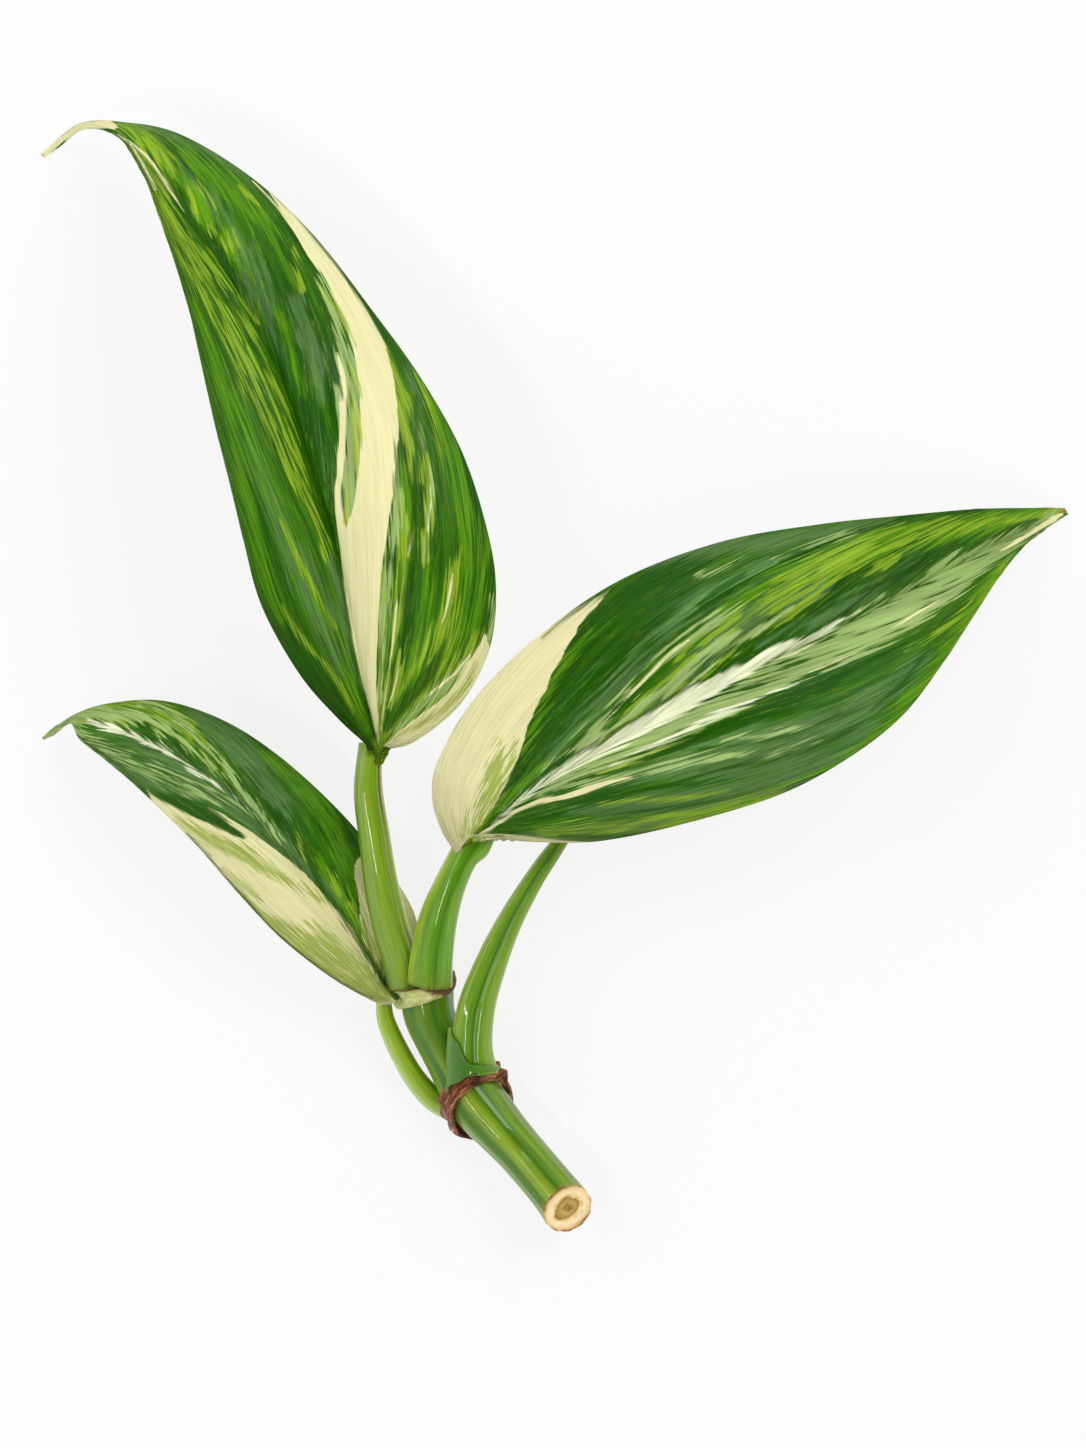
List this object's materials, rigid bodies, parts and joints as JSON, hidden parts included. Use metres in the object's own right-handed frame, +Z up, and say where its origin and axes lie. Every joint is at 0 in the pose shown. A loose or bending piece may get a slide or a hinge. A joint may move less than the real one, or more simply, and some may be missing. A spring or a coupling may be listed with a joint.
{
  "type": "epipremnum cutting",
  "caption": "Lying plant cutting: a short noded stem with long arching variegated leaves on petioles and a pointed leaf sheath.",
  "frame": {"origin": "on the surface that the cutting lies on, under the middle of its bounding box", "axes": "+Z up from the surface; +Y from the cut end of the stem towards the tall leaf's tip; +X towards the right leaf's tip"},
  "size_m": [0.1654, 0.1782, 0.037],
  "materials": {
    "leaf_blade": "glossy green leaf with cream and lime variegation",
    "petiole": "satin light green petiole and sheath",
    "stem": "satin green stem",
    "cork": "rough brown corky ring",
    "collar": "pale green collar"
  },
  "bodies": {
    "root": {"stem": "stem", "bud_scale": "stem", "lower_node_ring": "cork", "upper_node_collar": "collar", "tall_leaf_blade": "leaf_blade", "right_leaf_blade": "leaf_blade", "low_leaf_blade": "leaf_blade", "tall_leaf_petiole": "petiole", "right_leaf_petiole": "petiole", "low_leaf_petiole": "petiole", "new_leaf_sheath": "petiole"}
  },
  "joints": []
}
